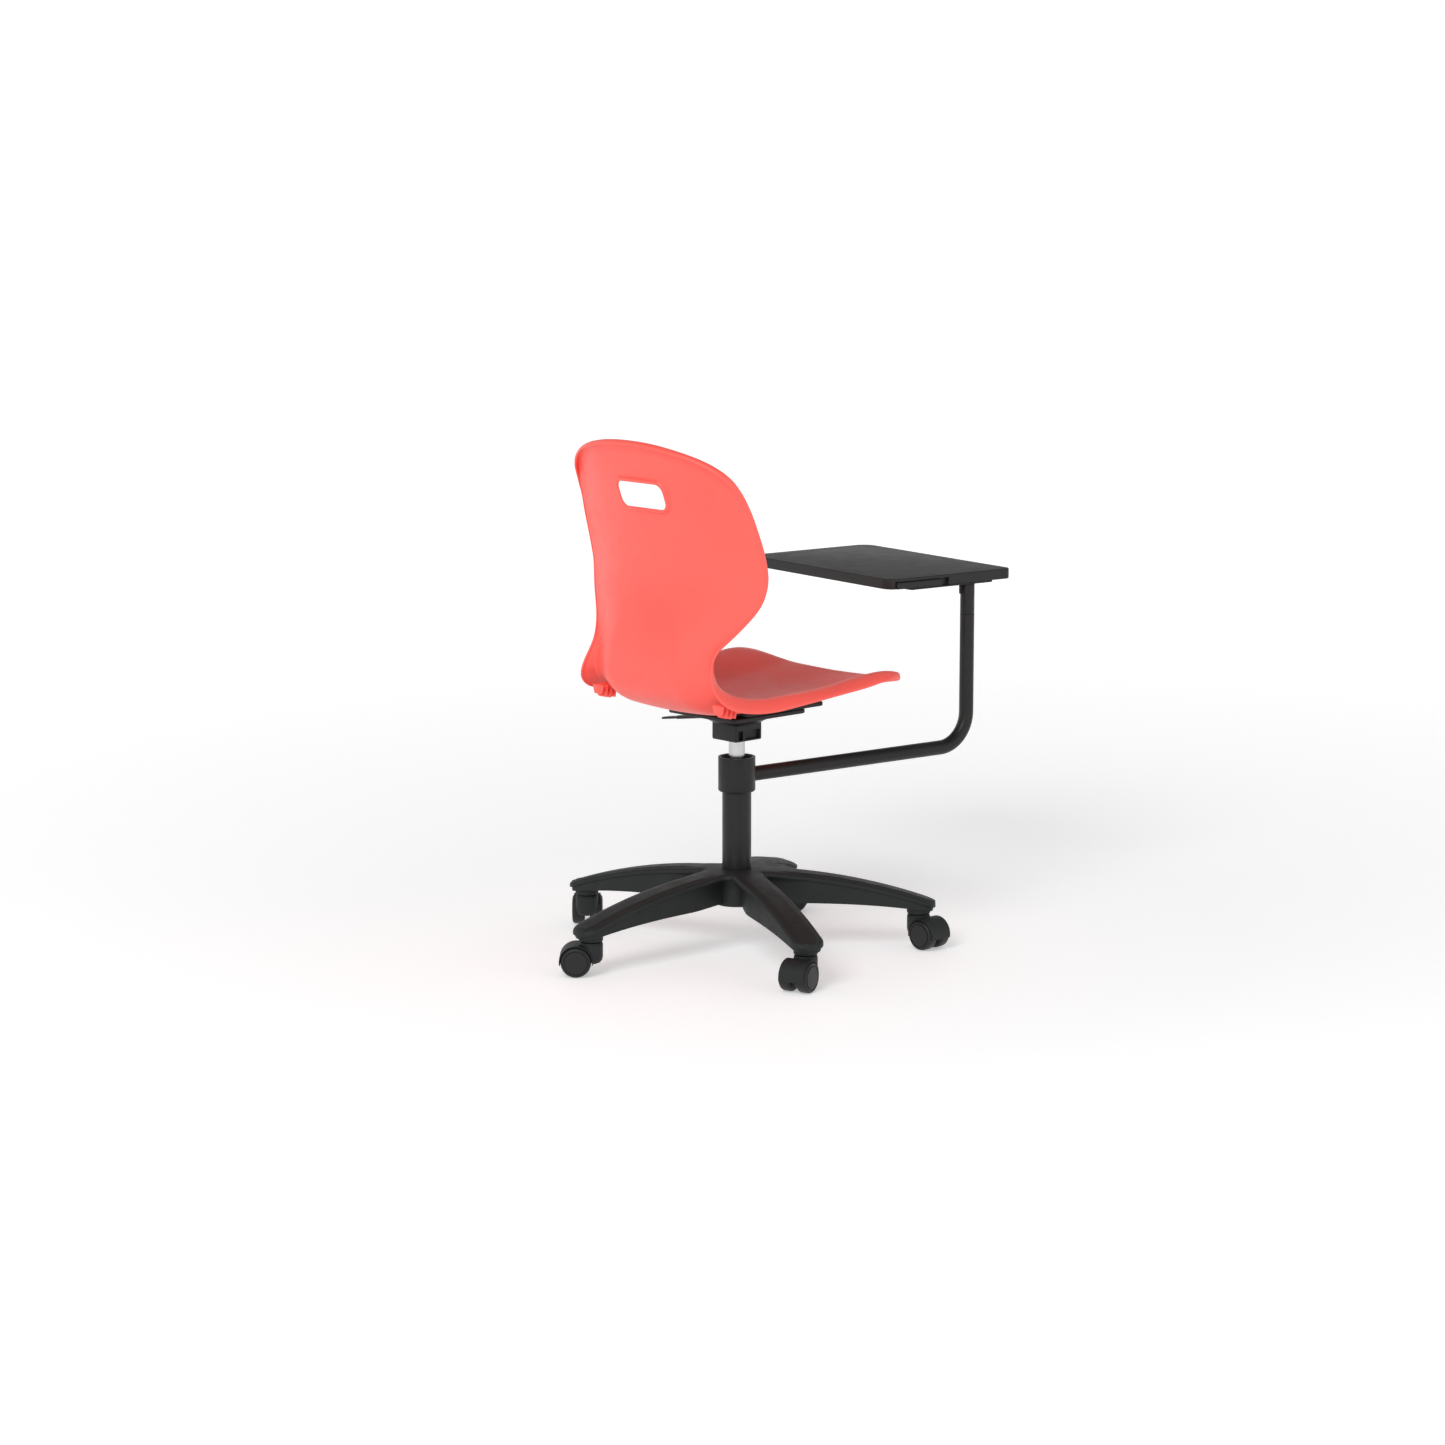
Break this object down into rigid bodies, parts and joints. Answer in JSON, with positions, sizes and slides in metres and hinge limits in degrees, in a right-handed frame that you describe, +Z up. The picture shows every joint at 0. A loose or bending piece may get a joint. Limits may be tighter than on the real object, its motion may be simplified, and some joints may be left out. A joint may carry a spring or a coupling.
{
  "type": "student desk chair",
  "caption": "Swivelling classroom chair: moulded seat shell on a gas lift, star base on castors, and a writing tablet on an arm round the column.",
  "frame": {"origin": "on the floor, under the middle of the whole chair's outline; the column's axis stands at x -0.0201, y 0.1406", "axes": "+Z up, the sitter faces -Y, +X to the sitter's left"},
  "size_m": [0.7022, 1.0202, 0.898],
  "materials": {
    "shell_plastic": "fine satin texture",
    "black_nylon": "fine grained matte",
    "black_coated_steel": "satin powder coat",
    "tablet_plastic": "fine matte grain",
    "wheel_nylon": "smooth satin",
    "zinc_steel": "zinc plated",
    "satin_chrome": "satin",
    "rubber": "matte"
  },
  "bodies": {
    "base": {"base_star": "black_nylon", "column_tube": "black_coated_steel", "guide_bush": "black_nylon", "thrust_bearing": "zinc_steel", "collar_stop_ring": "zinc_steel"},
    "spindle": {"piston_rod": "zinc_steel", "bump_stop": "rubber", "retaining_clip": "zinc_steel"},
    "seat": {"gas_cylinder": "satin_chrome", "mechanism_housing": "black_coated_steel", "seat_plate": "black_coated_steel", "seat_pad": "black_nylon", "lever_pin": "zinc_steel", "seat_shell": "shell_plastic", "seat_screw_1": "zinc_steel", "seat_screw_2": "zinc_steel", "seat_screw_3": "zinc_steel", "seat_screw_4": "zinc_steel"},
    "button": {"release_button": "zinc_steel"},
    "lever": {"lift_lever": "black_coated_steel"},
    "arm": {"arm_collar": "black_coated_steel", "collar_bush": "black_nylon", "arm_tube": "black_coated_steel", "post_bush": "black_nylon"},
    "tablet": {"tablet_post": "black_coated_steel", "tablet_bracket": "black_coated_steel", "tablet_top": "tablet_plastic", "edge_bar": "tablet_plastic", "tablet_screw_1": "zinc_steel", "tablet_screw_2": "zinc_steel", "tablet_screw_3": "zinc_steel", "tablet_screw_4": "zinc_steel"},
    "castor_1": {"castor_1_stem": "zinc_steel", "castor_1_hood": "black_nylon", "castor_1_axle": "zinc_steel"},
    "castor_1_wheel_left": {"castor_1_wheel_left": "wheel_nylon"},
    "castor_1_wheel_right": {"castor_1_wheel_right": "wheel_nylon"},
    "castor_2": {"castor_2_stem": "zinc_steel", "castor_2_hood": "black_nylon", "castor_2_axle": "zinc_steel"},
    "castor_2_wheel_left": {"castor_2_wheel_left": "wheel_nylon"},
    "castor_2_wheel_right": {"castor_2_wheel_right": "wheel_nylon"},
    "castor_3": {"castor_3_stem": "zinc_steel", "castor_3_hood": "black_nylon", "castor_3_axle": "zinc_steel"},
    "castor_3_wheel_left": {"castor_3_wheel_left": "wheel_nylon"},
    "castor_3_wheel_right": {"castor_3_wheel_right": "wheel_nylon"},
    "castor_4": {"castor_4_stem": "zinc_steel", "castor_4_hood": "black_nylon", "castor_4_axle": "zinc_steel"},
    "castor_4_wheel_left": {"castor_4_wheel_left": "wheel_nylon"},
    "castor_4_wheel_right": {"castor_4_wheel_right": "wheel_nylon"},
    "castor_5": {"castor_5_stem": "zinc_steel", "castor_5_hood": "black_nylon", "castor_5_axle": "zinc_steel"},
    "castor_5_wheel_left": {"castor_5_wheel_left": "wheel_nylon"},
    "castor_5_wheel_right": {"castor_5_wheel_right": "wheel_nylon"}
  },
  "joints": [
    {"name": "seat_swivel", "type": "hinge", "parent": "base", "child": "spindle", "pos_m": [-0.02013, 0.1406, 0.2], "axis": [0, 0, 1], "continuous": true},
    {"name": "gas_lift", "type": "slide", "parent": "spindle", "child": "seat", "axis": [0, 0, 1], "range_m": [0, 0.1]},
    {"name": "lever_lift", "type": "hinge", "parent": "seat", "child": "lever", "pos_m": [0.00987, 0.1406, 0.404], "axis": [0, -1, 0], "range_deg": [0, 6], "stiffness_Nm_per_rad": 1.5, "springref_deg": -8.59},
    {"name": "button_press", "type": "slide", "parent": "seat", "child": "button", "axis": [0, 0, -1], "range_m": [0, 0.0033]},
    {"name": "arm_swivel", "type": "hinge", "parent": "base", "child": "arm", "pos_m": [-0.02013, 0.1406, 0.306], "axis": [0, 0, 1], "continuous": true},
    {"name": "tablet_swivel", "type": "hinge", "parent": "arm", "child": "tablet", "pos_m": [-0.07317, -0.37267, 0.54], "axis": [0, 0, 1], "range_deg": [-90, 0]},
    {"name": "castor_1_swivel", "type": "hinge", "parent": "base", "child": "castor_1", "pos_m": [0.28551, 0.21681, 0.06], "axis": [0, 0, 1], "continuous": true},
    {"name": "castor_1_wheel_left_spin", "type": "hinge", "parent": "castor_1", "child": "castor_1_wheel_left", "pos_m": [0.3038, 0.19976, 0.02574], "axis": [0.682, 0.7314, 0], "continuous": true},
    {"name": "castor_1_wheel_right_spin", "type": "hinge", "parent": "castor_1", "child": "castor_1_wheel_right", "pos_m": [0.3038, 0.19976, 0.02574], "axis": [0.682, 0.7314, 0], "continuous": true},
    {"name": "castor_2_swivel", "type": "hinge", "parent": "base", "child": "castor_2", "pos_m": [0.00184, 0.45483, 0.06], "axis": [0, 0, 1], "continuous": true},
    {"name": "castor_2_wheel_left_spin", "type": "hinge", "parent": "castor_2", "child": "castor_2_wheel_left", "pos_m": [0.01889, 0.47312, 0.02574], "axis": [-0.7314, 0.682, 0], "continuous": true},
    {"name": "castor_2_wheel_right_spin", "type": "hinge", "parent": "castor_2", "child": "castor_2_wheel_right", "pos_m": [0.01889, 0.47312, 0.02574], "axis": [-0.7314, 0.682, 0], "continuous": true},
    {"name": "castor_3_swivel", "type": "hinge", "parent": "base", "child": "castor_3", "pos_m": [-0.31219, 0.2586, 0.06], "axis": [0, 0, 1], "continuous": true},
    {"name": "castor_3_wheel_left_spin", "type": "hinge", "parent": "castor_3", "child": "castor_3_wheel_left", "pos_m": [-0.31992, 0.28238, 0.02574], "axis": [-0.9511, -0.309, 0], "continuous": true},
    {"name": "castor_3_wheel_right_spin", "type": "hinge", "parent": "castor_3", "child": "castor_3_wheel_right", "pos_m": [-0.31992, 0.28238, 0.02574], "axis": [-0.9511, -0.309, 0], "continuous": true},
    {"name": "castor_4_swivel", "type": "hinge", "parent": "base", "child": "castor_4", "pos_m": [-0.22261, -0.1007, 0.06], "axis": [0, 0, 1], "continuous": true},
    {"name": "castor_4_wheel_left_spin", "type": "hinge", "parent": "castor_4", "child": "castor_4_wheel_left", "pos_m": [-0.24759, -0.10158, 0.02574], "axis": [0.0349, -0.9994, 0], "continuous": true},
    {"name": "castor_4_wheel_right_spin", "type": "hinge", "parent": "castor_4", "child": "castor_4_wheel_right", "pos_m": [-0.24759, -0.10158, 0.02574], "axis": [0.0349, -0.9994, 0], "continuous": true},
    {"name": "castor_5_swivel", "type": "hinge", "parent": "base", "child": "castor_5", "pos_m": [0.14679, -0.12654, 0.06], "axis": [0, 0, 1], "continuous": true},
    {"name": "castor_5_wheel_left_spin", "type": "hinge", "parent": "castor_5", "child": "castor_5_wheel_left", "pos_m": [0.12683, -0.14158, 0.02574], "axis": [0.6018, -0.7986, 0], "continuous": true},
    {"name": "castor_5_wheel_right_spin", "type": "hinge", "parent": "castor_5", "child": "castor_5_wheel_right", "pos_m": [0.12683, -0.14158, 0.02574], "axis": [0.6018, -0.7986, 0], "continuous": true}
  ],
  "couplings": [
    {"joint": "button_press", "follows": "lever_lift", "m_per_rad": 0.03}
  ]
}
